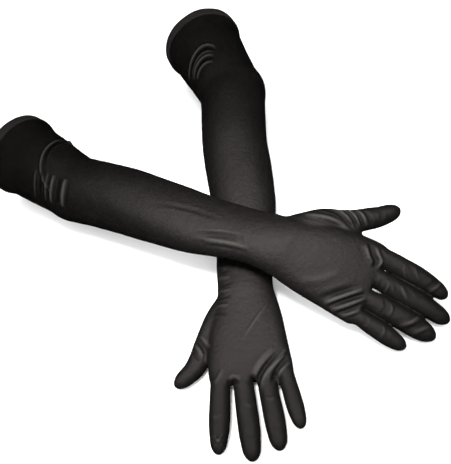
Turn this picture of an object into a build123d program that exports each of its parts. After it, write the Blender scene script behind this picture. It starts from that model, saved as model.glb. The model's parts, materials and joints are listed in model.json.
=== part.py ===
"""A pair of long satin opera gloves lying on a table, filled out as if worn.

Each glove is a chain of sewn fabric tubes: a turned hem and its stitches, the sleeve over the upper
arm, a gathered elbow, the forearm sleeve, the wrist, the hand in a back and a palm panel, a thumb
gusset, a two-part stall for the thumb and for each finger, and three fourchettes between the
fingers. The right glove lies across the left one. Millimetres, +Z up, the table at z = 0, the
origin under the middle of the pair.
"""
from build123d import *
import os
from math import cos, radians, sin

os.makedirs("parts", exist_ok=True)

# Fabric
WALL = 1.0  # satin with its seam allowances, taken as one even wall
GAP = 0.3  # between pieces that move past each other

# Hem
HEM_BORE = 44.5
HEM_WALL = 2.0  # the satin turned in and laid double
HEM_WIDTH = 12.0
HEM_ROUND = 0.9  # rounded edges of its mouth
HEM_RADIUS = HEM_BORE + HEM_WALL
STITCH = 0.5  # thread thickness
STITCH_LENGTH = 4.0
STITCH_COUNT = 48
STITCH_CLEARANCE = 0.02
STITCH_FROM_EDGE = 2.0

# Arm sections: half width across, half height
UPPER_START = (46.0, 46.0)
UPPER_END = (39.0, 37.0)
ELBOW = (37.5, 36.0)
FOREARM_START = (37.0, 35.5)
ELBOW_REACH = 40.0  # the elbow gather, on each side of the elbow
WRIST_REACH = 14.0  # the wrist piece, on each side of the wrist
FOREARM_SECTIONS = (  # back from the wrist, bulge away from the thumb, half width, half height
    (150.0, 3.0, 36.0, 29.5),
    (100.0, 2.5, 34.0, 24.0),
    (46.0, 1.0, 30.0, 18.8),
    (WRIST_REACH, 0.0, 27.5, 18.5),
)
TABLE_GAP = 0.3  # a sleeve that lies on the table clears it by this much

# Hand, measured forward from the wrist and sideways towards the thumb
HAND_SECTIONS = (  # forward, middle, half width, half height
    (WRIST_REACH, 0.5, 28.5, 18.5),
    (42.0, 0.0, 35.0, 16.3),
    (68.0, 1.5, 38.0, 14.3),
    (94.0, 3.5, 41.0, 11.0),
)
WEB = 94.0  # where the finger stalls begin
CORNER = 0.62  # corner radius of a hand section, as a share of its half height

# Finger stalls: sideways place at the web, length from the web, radius at the base, radius at the tip
FINGERS = {
    "index": (33.2, 69.0, 9.0, 7.6),
    "middle": (12.0, 79.0, 9.0, 7.6),
    "ring": (-9.5, 73.0, 8.5, 7.3),
    "little": (-28.3, 54.5, 7.7, 6.5),
}
NEIGHBOURS = (("index", "middle"), ("middle", "ring"), ("ring", "little"))
START = 1.5  # a stall's back edge stands this far past the web
KNUCKLE = 7.0  # from the web to the first fold
FOLD_SHARE = 0.5  # second fold, as a share of the stall's length
NOTCH = 7.5  # a stall is cut back this far on the palm side, on each side of its fold
FOURCHETTE = (9.0, 13.0)  # length along the fingers, height

# Thumb
THUMB_RADII = (10.6, 9.6, 8.0)  # at the root, the first fold and the tip
THUMB_NOTCH = 5.0
THUMB_GAP = 0.5
THUMB_TAPER = 0.3
THUMB_TILT = 35.0  # its second fold closes towards the palm, this far from straight down

# Each glove. side is +1 when the thumb is to the left of the hand's heading. Headings, pitches and
# rolls are in degrees; a hand's roll lifts its thumb side. thumb holds its root, its two folds and
# its tip, each forward of the wrist, towards the thumb and up.
GLOVES = {
    "left": dict(
        side=-1,
        wrist=(60.1, -93.6, 19.5),
        hand=(-74.0, -4.0, 0.0),
        forearm=(-76.2, 256.0),
        elbow_height=None,
        upper=(125.0, 95.0),
        splay=dict(index=6.0, middle=-2.0, ring=-5.5, little=-8.0),
        thumb=((26.0, 24.0, -3.0), (52.0, 46.0, -5.0), (73.0, 57.5, -5.0), (93.0, 77.0, -4.0)),
    ),
    "right": dict(
        side=1,
        wrist=(95.1, -68.6, 65.0),
        hand=(-15.0, -19.6, 14.0),
        forearm=(-16.3, 253.0),
        elbow_height=42.0,
        upper=(153.0, 99.0),
        splay=dict(index=-1.5, middle=-2.0, ring=-2.5, little=-7.0),
        thumb=((26.0, 25.0, -3.0), (49.0, 50.0, -5.0), (69.0, 66.0, -6.0), (87.0, 87.0, -5.0)),
    ),
}


def heading(degrees, pitch=0.0):
    """A unit direction from its compass heading and its rise, both in degrees."""
    turn, rise = radians(degrees), radians(pitch)
    return Vector(cos(turn) * cos(rise), sin(turn) * cos(rise), sin(rise))


def perpendicular(direction, to):
    """The part of a direction that stands square to another one."""
    return (direction - to * direction.dot(to)).normalized()


def forearm_height(glove, back, half_height):
    """Height of the sleeve's middle: it lies on the table, or rises evenly to the wrist."""
    if glove["elbow_height"] is None:
        return half_height + TABLE_GAP
    share = back / glove["forearm"][1]
    return glove["wrist"][2] * (1 - share) + glove["elbow_height"] * share


def skeleton(glove):
    """Named points and directions of one glove, worked out from its headings and lengths."""
    side = glove["side"]
    wrist = Vector(*glove["wrist"])
    turn, length = glove["forearm"]
    forearm = heading(turn)
    elbow = wrist - forearm * length
    elbow = Vector(elbow.X, elbow.Y, forearm_height(glove, length, ELBOW[1]))
    turn, reach = glove["upper"]
    upper = heading(turn)
    hem = Vector(elbow.X, elbow.Y, HEM_RADIUS + STITCH + STITCH_CLEARANCE) + upper * reach
    turn, pitch, roll = glove["hand"]
    hand = heading(turn, pitch)
    level = Vector(0, 0, 1).cross(hand).normalized()
    upright = hand.cross(level)
    thumbward = level * (side * cos(radians(roll))) + upright * sin(radians(roll))
    up = upright * cos(radians(roll)) - level * (side * sin(radians(roll)))
    place = lambda forward, sideways, rise=0.0: wrist + hand * forward + thumbward * sideways + up * rise
    bones = {}
    for name, (sideways, length, base, tip) in FINGERS.items():
        splay = radians(glove["splay"][name])
        along = hand * cos(splay) + thumbward * sin(splay)
        bones[name] = dict(root=place(WEB, sideways), along=along, length=length, radii=(base, tip))
    return dict(side=side, wrist=wrist, forearm=forearm, elbow=elbow, upper=upper, hem=hem, hand=hand,
                up=up, thumbward=thumbward, place=place, bones=bones,
                thumb=[place(*point) for point in glove["thumb"]])


def finger_folds(bone):
    """The two hinge points of a finger stall."""
    return (bone["root"] + bone["along"] * KNUCKLE,
            bone["root"] + bone["along"] * (bone["length"] * FOLD_SHARE))


def thumb_directions(bone):
    """Along the thumb's two stalls, and which way is up at each of its folds."""
    root, first, second, tip = bone["thumb"]
    lower = (second - first).normalized()
    upper = (tip - second).normalized()
    straight = perpendicular(bone["up"], lower)
    outward = perpendicular(bone["thumbward"], lower)
    tilt = radians(THUMB_TILT)
    tilted = perpendicular(straight * cos(tilt) + outward * sin(tilt), upper)
    return lower, upper, straight, tilted


def station(point, direction, side=1):
    """A plane across a tube: its x runs level, its z along the tube."""
    level = Vector(0, 0, 1).cross(direction).normalized()
    return Plane(origin=point, x_dir=level * side, z_dir=direction)


def sleeve(stations):
    """A hollow tube through elliptical sections, each a plane, a half width and a half height."""
    with BuildPart() as tube:
        for inset, mode in ((0.0, Mode.ADD), (WALL, Mode.SUBTRACT)):
            for plane, width, height in stations:
                with BuildSketch(plane):
                    Ellipse(width - inset, height - inset)
            loft(mode=mode)
    return tube


def hem_band(plane):
    """The turned hem: a double band with a rounded mouth. The plane lies at the mouth, facing in."""
    with BuildPart() as band:
        with BuildSketch(plane):
            Circle(HEM_RADIUS)
            Circle(HEM_BORE, mode=Mode.SUBTRACT)
        extrude(amount=HEM_WIDTH)
        mouth = band.edges().filter_by(GeomType.CIRCLE).sort_by(Axis(plane.origin, plane.z_dir))[:2]
        fillet(mouth, radius=HEM_ROUND)
    return band


def hem_stitches(plane):
    """The row of stitches that holds the hem, one small bar of thread each."""
    centre = plane.origin + plane.z_dir * (HEM_WIDTH - STITCH_FROM_EDGE)
    with BuildPart() as stitches:
        for place in range(STITCH_COUNT):
            turn = radians(place * 360.0 / STITCH_COUNT)
            outward = plane.x_dir * cos(turn) + plane.y_dir * sin(turn)
            spot = centre + outward * (HEM_RADIUS + STITCH_CLEARANCE)
            with BuildSketch(Plane(origin=spot, x_dir=plane.z_dir.cross(outward), z_dir=outward)):
                SlotOverall(STITCH_LENGTH, STITCH)
            extrude(amount=STITCH)
    return stitches


def arm_pieces(glove, bone):
    """Hem, stitches and the four sleeves of the arm, from the hem to the wrist."""
    upper, forearm, wrist, elbow = bone["upper"], bone["forearm"], bone["wrist"], bone["elbow"]
    inward, side, away = upper * -1, bone["side"], Vector(0, 0, 1).cross(forearm) * -bone["side"]
    mouth = station(bone["hem"], inward)
    upper_end = Vector(elbow.X, elbow.Y, elbow.Z + UPPER_END[1] - ELBOW[1]) + upper * ELBOW_REACH
    first = (station(bone["hem"] + inward * HEM_WIDTH, inward, side), *UPPER_START)
    before = (station(upper_end, inward, side), *UPPER_END)
    middle = (station(elbow, forearm + inward, side), *ELBOW)
    along = []
    length = glove["forearm"][1]
    for back, bulge, width, height in ((length - ELBOW_REACH, 1.0, *FOREARM_START), *FOREARM_SECTIONS):
        point = wrist - forearm * back + away * bulge
        point = Vector(point.X, point.Y, forearm_height(glove, back, height))
        along.append((station(point, forearm, side), width, height))
    forward, sideways, width, height = HAND_SECTIONS[0]
    palm = Plane(origin=bone["place"](forward, sideways), x_dir=bone["thumbward"], z_dir=bone["hand"])
    return {
        "hem": hem_band(mouth),
        "hem_stitches": hem_stitches(mouth),
        "upper_sleeve": sleeve([first, before]),
        "elbow_gather": sleeve([before, middle, along[0]]),
        "forearm_sleeve": sleeve(along),
        "wrist_sleeve": sleeve([along[-1], (palm, width, height)]),
    }


def hand_solid(bone, inset):
    """The hand as one closed solid; with the wall as its inset it is the hollow inside."""
    with BuildPart() as solid:
        for forward, middle, width, height in HAND_SECTIONS:
            centre = bone["place"](forward, middle)
            with BuildSketch(Plane(origin=centre, x_dir=bone["thumbward"], z_dir=bone["hand"])):
                RectangleRounded(2 * (width - inset), 2 * (height - inset), (height - inset) * CORNER)
        loft()
    return solid


def rod_between(start, end, first, last):
    """A solid tapering rod from one point to another."""
    direction = (end - start).normalized()
    with BuildPart() as rod:
        for point, radius in ((start, first), (end, last)):
            with BuildSketch(Plane(origin=point, z_dir=direction)):
                Circle(radius)
        loft()
    return rod


def hand_pieces(bone):
    """Back panel, palm panel and thumb gusset. The panels meet at the side seams."""
    outer = hand_solid(bone, 0.0)
    inner = hand_solid(bone, WALL)
    root, first, second, tip = bone["thumb"]
    rod = rod_between(root, first, THUMB_RADII[0], THUMB_RADII[1])
    bore = rod_between(root, first, THUMB_RADII[0] - WALL, THUMB_RADII[1] - WALL)
    seam = Plane(origin=bone["wrist"], x_dir=bone["hand"], z_dir=bone["up"])
    panels = []
    for keep in (Keep.TOP, Keep.BOTTOM):
        with BuildPart() as panel:
            add(outer.part)
            add(inner.part, mode=Mode.SUBTRACT)
            add(rod.part, mode=Mode.SUBTRACT)
            split(bisect_by=seam, keep=keep)
        panels.append(panel)
    lower, upper, straight, tilted = thumb_directions(bone)
    fold = Plane(origin=first, x_dir=lower, z_dir=lower.cross(straight))
    with BuildPart() as gusset:
        add(rod.part)
        add(bore.part, mode=Mode.SUBTRACT)
        add(outer.part, mode=Mode.SUBTRACT)
        split(bisect_by=fold_cut(fold, -THUMB_GAP, THUMB_RADII[1], -THUMB_NOTCH), keep=Keep.BOTTOM)
    return panels[0], panels[1], gusset


def fold_cut(frame, place, radius, notch):
    """A plane across a stall beside a fold. On the palm side it stands further back by the notch."""
    normal = frame.x_dir * (2 * radius) + frame.y_dir * notch
    return Plane(origin=frame.from_local_coords(Vector(place + notch / 2, 0, 0)), z_dir=normal)


def stall(frame, start, end, radii, dome=False):
    """A tapering fabric tube along the frame's x, closed by a round tip when dome is true."""
    first, last = radii
    inner, bend = last - WALL, cos(radians(45))
    edge = end - last if dome else end
    with BuildPart() as tube:
        with BuildSketch(frame):
            with BuildLine():
                Line((start, first - WALL), (start, first))
                Line((start, first), (edge, last))
                if dome:
                    ThreePointArc((edge, last), (edge + last * bend, last * bend), (end, 0))
                    Line((end, 0), (end - WALL, 0))
                    ThreePointArc((end - WALL, 0), (edge + inner * bend, inner * bend), (edge, inner))
                else:
                    Line((edge, last), (edge, inner))
                Line((edge, inner), (start, first - WALL))
            make_face()
        revolve(axis=Axis(frame.origin, frame.x_dir))
    return tube


def finger_pieces(bone, up):
    """The base and tip stalls of one finger, notched on the palm side so that the fold can close."""
    frame = Plane(origin=bone["root"], x_dir=bone["along"], z_dir=bone["along"].cross(up))
    base, tip = bone["radii"]
    length = bone["length"]
    fold = length * FOLD_SHARE
    radius_at = lambda place: base + (tip - base) * place / length
    lower = stall(frame, START, fold, (radius_at(START), radius_at(fold)))
    with lower:
        split(bisect_by=fold_cut(frame, fold - GAP, radius_at(fold), -NOTCH), keep=Keep.BOTTOM)
    upper = stall(frame, fold, length, (radius_at(fold), tip), dome=True)
    with upper:
        split(bisect_by=fold_cut(frame, fold + GAP, radius_at(fold), NOTCH), keep=Keep.TOP)
    return lower, upper


def thumb_pieces(bone):
    """The base and tip stalls of the thumb."""
    root, first, second, tip = bone["thumb"]
    base, last = THUMB_RADII[1:]
    middle = base - THUMB_TAPER
    along, upper_along, straight, tilted = thumb_directions(bone)
    reach = (second - first).length
    frame = Plane(origin=first, x_dir=along, z_dir=along.cross(straight))
    knee = Plane(origin=second, x_dir=upper_along, z_dir=upper_along.cross(tilted))
    lower = stall(frame, 0.0, reach + NOTCH, (base, middle))
    with lower:
        split(bisect_by=fold_cut(frame, THUMB_GAP, base, THUMB_NOTCH), keep=Keep.TOP)
        split(bisect_by=fold_cut(knee, -THUMB_GAP, middle, -NOTCH), keep=Keep.BOTTOM)
    upper = stall(knee, 0.0, (tip - second).length, (middle, last), dome=True)
    with upper:
        split(bisect_by=fold_cut(knee, THUMB_GAP, middle, NOTCH), keep=Keep.TOP)
    return lower, upper


def fourchette(bone, outside, inside):
    """The gusset in the crotch between two fingers: a short tongue standing between their stalls."""
    outer, inner = bone["bones"][outside], bone["bones"][inside]
    one = outer["root"] - bone["thumbward"] * outer["radii"][0]
    other = inner["root"] + bone["thumbward"] * inner["radii"][0]
    along = (outer["along"] + inner["along"]).normalized()
    across = along.cross(bone["up"])
    length, height = FOURCHETTE
    width = abs((one - other).dot(across)) - 2 * GAP
    slack = FINGERS[outside][2] * abs(along.dot(bone["thumbward"]))
    centre = (one + other) * 0.5 + along * (length / 2 + GAP + slack)
    with BuildPart() as tongue:
        with BuildSketch(Plane(origin=centre, x_dir=along, z_dir=across)):
            RectangleRounded(length, height, length * 0.3)
        extrude(amount=width / 2, both=True)
    return tongue


def glove_pieces(name, glove):
    """Every piece of one glove, by its node name."""
    bone = skeleton(glove)
    pieces = arm_pieces(glove, bone)
    pieces["hand_back"], pieces["hand_palm"], pieces["thumb_gusset"] = hand_pieces(bone)
    pieces["thumb_base"], pieces["thumb_tip"] = thumb_pieces(bone)
    for finger, finger_bone in bone["bones"].items():
        pieces[f"{finger}_base"], pieces[f"{finger}_tip"] = finger_pieces(finger_bone, bone["up"])
    for outside, inside in NEIGHBOURS:
        pieces[f"{outside}_{inside}_fourchette"] = fourchette(bone, outside, inside)
    return {f"{name}_{piece}": built for piece, built in pieces.items()}


if __name__ == "__main__":
    for name, glove in GLOVES.items():
        for node, built in glove_pieces(name, glove).items():
            built.part.label = node
            export_step(built.part, f"parts/{node}.step")
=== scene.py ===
# %% [markdown]
# # A pair of long satin opera gloves
# The gloves lie crossed on a table, filled out as if an arm were still inside. An opera glove is one
# soft skin from the upper arm to the fingertips, so it is modelled as one skin first: closed forms
# for the arm, the palm and each finger are melted together, smoothed, and given their folds. Only
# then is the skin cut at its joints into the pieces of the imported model, so that every piece meets
# its neighbour exactly.

# %% The frame
import json
import math

import bmesh
import bpy
import numpy as np
from mathutils import Matrix, Vector, noise
from mathutils.bvhtree import BVHTree
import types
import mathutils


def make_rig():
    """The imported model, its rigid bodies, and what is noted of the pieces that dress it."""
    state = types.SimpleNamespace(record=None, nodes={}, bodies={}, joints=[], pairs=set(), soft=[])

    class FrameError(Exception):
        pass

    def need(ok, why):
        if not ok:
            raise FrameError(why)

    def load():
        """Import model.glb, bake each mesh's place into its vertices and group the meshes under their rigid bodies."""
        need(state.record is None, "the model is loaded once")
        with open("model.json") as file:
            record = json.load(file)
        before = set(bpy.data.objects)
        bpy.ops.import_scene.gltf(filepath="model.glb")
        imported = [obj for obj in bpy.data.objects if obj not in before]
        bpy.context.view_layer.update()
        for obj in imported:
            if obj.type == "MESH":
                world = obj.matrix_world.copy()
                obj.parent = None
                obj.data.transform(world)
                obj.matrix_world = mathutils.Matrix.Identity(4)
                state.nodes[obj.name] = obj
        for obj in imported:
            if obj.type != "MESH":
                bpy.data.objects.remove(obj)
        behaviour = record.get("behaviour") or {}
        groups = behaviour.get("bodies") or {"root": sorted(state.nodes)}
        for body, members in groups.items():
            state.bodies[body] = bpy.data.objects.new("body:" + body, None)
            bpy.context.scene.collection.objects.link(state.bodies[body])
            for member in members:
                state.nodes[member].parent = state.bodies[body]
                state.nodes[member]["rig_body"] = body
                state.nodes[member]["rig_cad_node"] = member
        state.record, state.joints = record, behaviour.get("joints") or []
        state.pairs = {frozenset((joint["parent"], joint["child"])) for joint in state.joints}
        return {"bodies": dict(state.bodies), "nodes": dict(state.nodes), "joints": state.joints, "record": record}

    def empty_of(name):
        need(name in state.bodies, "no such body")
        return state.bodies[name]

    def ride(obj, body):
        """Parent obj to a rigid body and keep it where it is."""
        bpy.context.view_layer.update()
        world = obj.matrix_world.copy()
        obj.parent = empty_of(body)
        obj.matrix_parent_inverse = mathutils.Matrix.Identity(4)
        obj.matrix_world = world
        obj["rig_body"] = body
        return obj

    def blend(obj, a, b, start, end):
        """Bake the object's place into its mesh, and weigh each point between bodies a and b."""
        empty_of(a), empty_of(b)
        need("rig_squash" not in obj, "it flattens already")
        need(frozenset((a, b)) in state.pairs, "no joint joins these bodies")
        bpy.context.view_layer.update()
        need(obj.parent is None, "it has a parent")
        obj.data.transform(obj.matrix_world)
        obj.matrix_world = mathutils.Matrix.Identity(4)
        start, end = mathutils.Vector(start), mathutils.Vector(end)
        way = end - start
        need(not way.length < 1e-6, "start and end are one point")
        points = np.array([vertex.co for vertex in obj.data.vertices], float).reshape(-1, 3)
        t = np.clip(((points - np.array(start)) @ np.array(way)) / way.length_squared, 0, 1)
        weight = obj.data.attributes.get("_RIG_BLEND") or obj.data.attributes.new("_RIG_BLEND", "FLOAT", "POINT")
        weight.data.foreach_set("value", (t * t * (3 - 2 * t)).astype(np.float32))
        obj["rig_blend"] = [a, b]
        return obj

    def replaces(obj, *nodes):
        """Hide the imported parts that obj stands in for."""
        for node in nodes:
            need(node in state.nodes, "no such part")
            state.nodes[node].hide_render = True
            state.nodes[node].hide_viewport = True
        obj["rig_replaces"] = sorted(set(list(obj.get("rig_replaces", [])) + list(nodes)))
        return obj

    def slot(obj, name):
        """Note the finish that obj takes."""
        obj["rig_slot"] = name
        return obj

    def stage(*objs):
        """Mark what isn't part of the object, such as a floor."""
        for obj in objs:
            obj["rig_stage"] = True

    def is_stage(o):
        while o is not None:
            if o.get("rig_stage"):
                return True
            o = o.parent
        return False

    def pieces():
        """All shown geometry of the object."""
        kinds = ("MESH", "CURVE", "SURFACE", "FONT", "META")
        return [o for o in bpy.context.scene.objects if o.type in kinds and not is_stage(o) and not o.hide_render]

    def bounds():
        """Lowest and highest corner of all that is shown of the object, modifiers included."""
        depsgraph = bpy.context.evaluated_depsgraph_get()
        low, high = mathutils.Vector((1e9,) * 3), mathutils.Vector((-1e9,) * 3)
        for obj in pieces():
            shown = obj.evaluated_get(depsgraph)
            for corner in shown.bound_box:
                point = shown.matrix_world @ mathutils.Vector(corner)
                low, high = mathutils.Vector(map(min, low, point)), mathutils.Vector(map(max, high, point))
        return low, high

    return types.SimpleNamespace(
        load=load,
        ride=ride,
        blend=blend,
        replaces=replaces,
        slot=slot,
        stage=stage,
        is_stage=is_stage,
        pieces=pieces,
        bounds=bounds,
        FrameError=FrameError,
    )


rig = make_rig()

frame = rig.load()
cad_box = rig.bounds()
joints = {joint["name"]: joint for joint in frame["joints"]}
mounts = {mount["name"]: mount for mount in frame["record"]["mounts"]}
GLOVES = ("left", "right")
DIGITS = ("index", "middle", "ring", "little")
MM = 0.001
print("CAD box", [[round(v, 4) for v in corner] for corner in cad_box])

# %% [markdown]
# ## Shader maths
# Materials are node graphs, and a graph is easier to read as arithmetic. This small class wraps one
# output socket: `+`, `-` and `*` on it add Math nodes, and `graph.node` adds any other node.

# %% Sockets as numbers
class Value:
    """One output socket of a shader graph, with arithmetic."""

    def __init__(self, graph, socket):
        self.graph = graph
        self.socket = socket

    def _math(self, operation, first, second):
        return self.graph.node("ShaderNodeMath", {"operation": operation}, {0: first, 1: second})

    def __add__(self, other):
        return self._math("ADD", self, other)

    def __mul__(self, other):
        return self._math("MULTIPLY", self, other)

    def __sub__(self, other):
        return self._math("SUBTRACT", self, other)

    def __rsub__(self, other):
        return self._math("SUBTRACT", other, self)

    __radd__ = __add__
    __rmul__ = __mul__


class Graph:
    """A material's node tree, emptied, with one way to add a node."""

    def __init__(self, name):
        self.material = bpy.data.materials.new(name)
        self.material.use_nodes = True
        self.tree = self.material.node_tree
        self.tree.nodes.clear()

    def node(self, kind, settings=None, inputs=None, output=0):
        made = self.tree.nodes.new(kind)
        for name, value in (settings or {}).items():
            setattr(made, name, value)
        for name, value in (inputs or {}).items():
            if isinstance(value, Value):
                self.tree.links.new(value.socket, made.inputs[name])
            else:
                made.inputs[name].default_value = value
        return Value(self, made.outputs[output]) if len(made.outputs) else None

    def mix_colour(self, factor, first, second):
        return self.node("ShaderNodeMix", {"data_type": "RGBA"}, {0: factor, 6: first, 7: second}, 2)

    def finish(self, **inputs):
        """Adds the Principled shader and the output. Keyword names are its sockets'."""
        named = {name.replace("_", " "): value for name, value in inputs.items()}
        shader = self.node("ShaderNodeBsdfPrincipled", None, named)
        self.node("ShaderNodeOutputMaterial", None, {"Surface": shader})
        return self.material


# %% [markdown]
# ## Black satin
# Satin is woven so that long floats of thread lie side by side on the face. They give a broad, soft
# shine with a grain along the warp, and the cloth drinks light where it turns away. The base is
# almost black and slightly warm. Cloudy noise varies its depth and gloss the way handled cloth
# varies, and two very fine waves stand for the floats and the weft.

# %% Satin material
def satin(name, dark, light, ridge, roughness):
    """Stretch satin between two tones, with clouding, a painted highlight on fold ridges, painted shade in fold
    valleys, floats and a fine weave.
    """
    graph = Graph(name)
    place = graph.node("ShaderNodeTexCoord", output=3)
    fold = graph.node("ShaderNodeAttribute", {"attribute_name": "fold"}, output=2)
    clouds = graph.node("ShaderNodeTexNoise", None, {"Vector": place, "Scale": 38.0, "Detail": 4.0})
    rub = graph.node("ShaderNodeTexNoise", None, {"Vector": place, "Scale": 240.0, "Detail": 3.0})
    mottle = graph.node("ShaderNodeTexNoise", None, {"Vector": place, "Scale": 560.0, "Detail": 3.0,
                                                     "Roughness": 0.7})
    tone = (clouds * 0.7 + rub * 0.5 + mottle * 1.4) - 0.8
    cloth = graph.mix_colour(tone, dark, light)
    # Painted shade: the fold valleys darken towards near black. Painted highlight: the fold ridges lighten towards the
    # ridge colour.
    valley = graph.mix_colour(fold * -0.8, cloth, (0.0005, 0.0004, 0.0004, 1))
    colour = graph.mix_colour(fold * 0.62 - 0.05, valley, ridge)
    floats = graph.node("ShaderNodeTexWave", {"wave_type": "BANDS", "bands_direction": "DIAGONAL"},
                        {"Vector": place, "Scale": 420.0, "Distortion": 1.5, "Detail": 1.0})
    weft = graph.node("ShaderNodeTexWave", {"wave_type": "BANDS", "bands_direction": "X"},
                      {"Vector": place, "Scale": 640.0, "Distortion": 0.8, "Detail": 0.0})
    height = floats * 0.4 + weft * 0.3 + mottle * 1.5 + rub * 2.4
    bump = graph.node("ShaderNodeBump", None, {"Height": height, "Strength": 0.4, "Distance": 0.0006})
    gloss = rub * 0.14 + mottle * 0.2 + (roughness - 0.17) - fold * 0.05
    return graph.finish(Base_Color=colour, Roughness=gloss, Normal=bump, Specular_IOR_Level=0.42,
                        Specular_Tint=(1.0, 0.93, 0.9, 1))


# The fourth colour of each satin is the painted highlight on fold ridges.
SATIN = satin("black_satin", (0.0018, 0.0014, 0.0013, 1), (0.0064, 0.0050, 0.0046, 1),
              (0.030, 0.0275, 0.0260, 1), 0.57)
# Painted highlight: the hem satin is a lighter copy of the black satin, for the light that the turned band catches.
HEM_SATIN_PAINTED_HIGHLIGHT = satin("pressed_hem_satin", (0.0105, 0.0095, 0.0090, 1), (0.0175, 0.0160, 0.0150, 1),
                  (0.030, 0.0275, 0.0260, 1), 0.5)
GUSSET_SATIN = satin("gusset_satin", (0.0016, 0.0013, 0.0012, 1), (0.0056, 0.0044, 0.0040, 1),
                     (0.026, 0.0235, 0.0220, 1), 0.6)

# %% [markdown]
# Sewing thread is two plies twisted together: a slanting wave in the bump is enough at this size.

# %% Thread material
def thread_material():
    graph = Graph("black_thread")
    place = graph.node("ShaderNodeTexCoord", output=3)
    ply = graph.node("ShaderNodeTexWave", {"bands_direction": "DIAGONAL"},
                     {"Vector": place, "Scale": 900.0, "Distortion": 0.4})
    fuzz = graph.node("ShaderNodeTexNoise", None, {"Vector": place, "Scale": 1500.0, "Detail": 2.0})
    colour = graph.mix_colour(fuzz, (0.014, 0.013, 0.013, 1), (0.035, 0.033, 0.032, 1))
    bump = graph.node("ShaderNodeBump", None, {"Height": ply + fuzz * 0.5, "Strength": 0.4,
                                               "Distance": 0.0002})
    return graph.finish(Base_Color=colour, Roughness=fuzz * 0.2 + 0.45, Normal=bump)


THREAD = thread_material()

# %% [markdown]
# ## Where the gloves are
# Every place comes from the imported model: the joints give the elbow, the wrist and both folds of
# each finger, and the cuff mounts give the mouths of the sleeves. A glove's hand has its own
# directions: forward to the fingers, thumbward across the palm, and up out of its back.

# %% Bones
KNUCKLE = 7 * MM  # from the web of the fingers to their first fold


def point(name):
    return Vector(joints[name]["pos_m"])


def reach(node, direction):
    """How far a CAD node goes in a direction."""
    return max(vert.co.dot(direction) for vert in frame["nodes"][node].data.vertices)


class Glove:
    """The places and directions of one glove."""

    def __init__(self, name):
        self.name = name
        self.wrist = point(f"{name}_wrist_bend")
        self.elbow = point(f"{name}_elbow_bend")
        across = Vector(joints[f"{name}_wrist_bend"]["axis"])
        self.side = 1 if (point(f"{name}_thumb_knuckle") - self.wrist).dot(across) > 0 else -1
        self.thumbward = across * self.side
        to_index = point(f"{name}_index_knuckle") - self.wrist
        self.forward = (to_index - across * to_index.dot(across)).normalized()
        self.up = self.forward.cross(across)
        level = (self.wrist - self.elbow) * Vector((1, 1, 0))
        self.forearm = level.normalized()
        cuff = mounts[f"{name}_cuff"]
        self.upper = Vector(cuff["axis"])
        cuff_point = Vector(cuff["pos_m"])
        mouth = reach(f"{name}_hem", self.upper)
        self.mouth = cuff_point + self.upper * (mouth - cuff_point.dot(self.upper))
        self.digits = {digit: self.digit(digit) for digit in DIGITS}
        self.thumb = self.digit("thumb")

    def digit(self, digit):
        """First fold, second fold, tip, direction of the first part and of the last."""
        first, second = point(f"{self.name}_{digit}_knuckle"), point(f"{self.name}_{digit}_fold")
        along = (second - first).normalized()
        axis = Vector(joints[f"{self.name}_{digit}_fold"]["axis"])
        far = max((vert.co for vert in frame["nodes"][f"{self.name}_{digit}_tip"].data.vertices),
                  key=lambda co: (co - first).length)
        onward = far - second
        onward = (onward - axis * onward.dot(axis)).normalized()
        tip = second + onward * (reach(f"{self.name}_{digit}_tip", onward) - second.dot(onward))
        return dict(first=first, second=second, tip=tip, along=along, onward=onward,
                    root=first - along * KNUCKLE)

    def place(self, forward, sideways, rise=0.0):
        """A point given in the hand's own millimetres."""
        return self.wrist + (self.forward * forward + self.thumbward * sideways + self.up * rise) * MM


gloves = {name: Glove(name) for name in GLOVES}
for name, glove in gloves.items():
    print(name, "wrist to middle fingertip, mm",
          round((glove.digits["middle"]["tip"] - glove.wrist).length / MM, 1))

# %% [markdown]
# ## Forms from rings
# A limb is a stack of rings. Each ring is a circle from `bmesh.ops.create_circle`, pressed into a
# rounded box where the palm needs it, and neighbouring rings are joined by `bridge_loops`. A smooth
# curve through a few measured stations gives all the rings in between.

# %% Rings and curves
SEGMENTS = 40


def curve_through(rows, steps):
    """Rows of numbers, smoothly filled in between by Catmull-Rom splines."""
    rows = np.array(rows, float)
    ends = np.vstack([2 * rows[0] - rows[1], rows, 2 * rows[-1] - rows[-2]])
    filled = []
    for before, start, end, after in zip(ends, ends[1:], ends[2:], ends[3:]):
        for step in range(steps):
            t = step / steps
            filled.append(0.5 * (2 * start + (end - before) * t
                                 + (2 * before - 5 * start + 4 * end - after) * t ** 2
                                 + (3 * start - before - 3 * end + after) * t ** 3))
    return np.array(filled + [rows[-1]])


def add_ring(form, centre, wide, high, half_width, half_height, boxy=2.0):
    """Adds one ring to a bmesh and returns its edges. boxy is 2 for an ellipse, more for a box."""
    made = bmesh.ops.create_circle(form, segments=SEGMENTS, radius=1.0)["verts"]
    press = lambda value: math.copysign(abs(value) ** (2 / boxy), value)
    for vert in made:
        vert.co = (Vector(centre) + Vector(wide) * press(vert.co.x) * half_width
                   + Vector(high) * press(vert.co.y) * half_height)
    return list({edge for vert in made for edge in vert.link_edges})


def bridge_rings(form, rings):
    """Joins rings into a closed form and fills its two ends."""
    for ring, following in zip(rings, rings[1:]):
        bmesh.ops.bridge_loops(form, edges=ring + following)
    for end in (rings[0], rings[-1]):
        bmesh.ops.holes_fill(form, edges=end, sides=SEGMENTS)


# %% [markdown]
# ## Arm and palm
# The sleeve narrows from the upper arm to the wrist, then the hand widens again and flattens. The
# left glove lies on the table, so its middle is as high as its own half height. The right one
# climbs from its elbow to the wrist, which rests on the left glove.

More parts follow.
